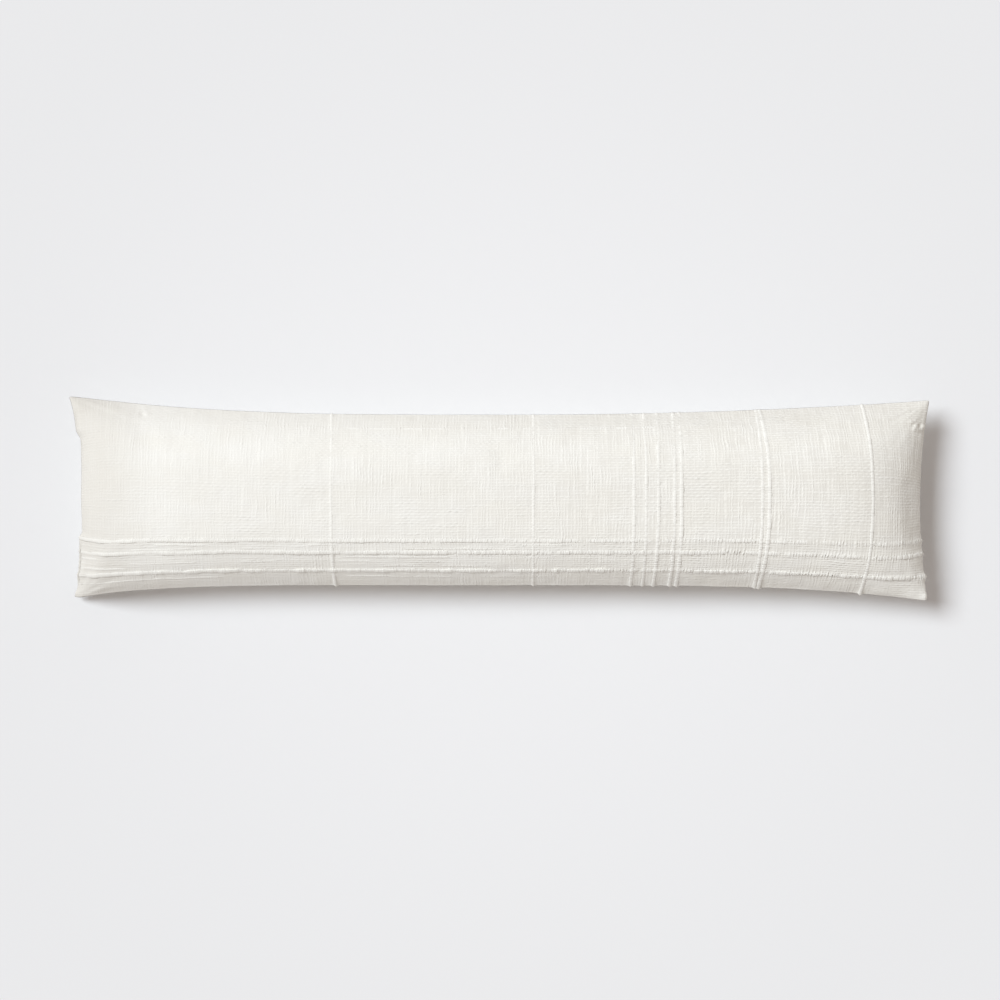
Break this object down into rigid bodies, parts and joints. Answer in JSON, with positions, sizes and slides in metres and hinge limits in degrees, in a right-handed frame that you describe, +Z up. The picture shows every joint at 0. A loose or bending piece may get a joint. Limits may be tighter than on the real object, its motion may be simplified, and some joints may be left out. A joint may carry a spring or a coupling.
{
  "type": "lumbar pillow",
  "caption": "Long off-white lumbar pillow with a knife edge, blunt corner points and a crowned filling, lying flat on its back.",
  "frame": {"origin": "middle of the cushion's box, on the surface its back rests on", "axes": "+X along the length, +Y across towards the long edge with no raised lengthwise yarn group, +Z up through the front"},
  "size_m": [1.189, 0.285, 0.1119],
  "materials": {
    "slub_cloth": "matt slub weave with raised thick yarns"
  },
  "bodies": {
    "root": {"cushion": "slub_cloth"}
  },
  "joints": []
}
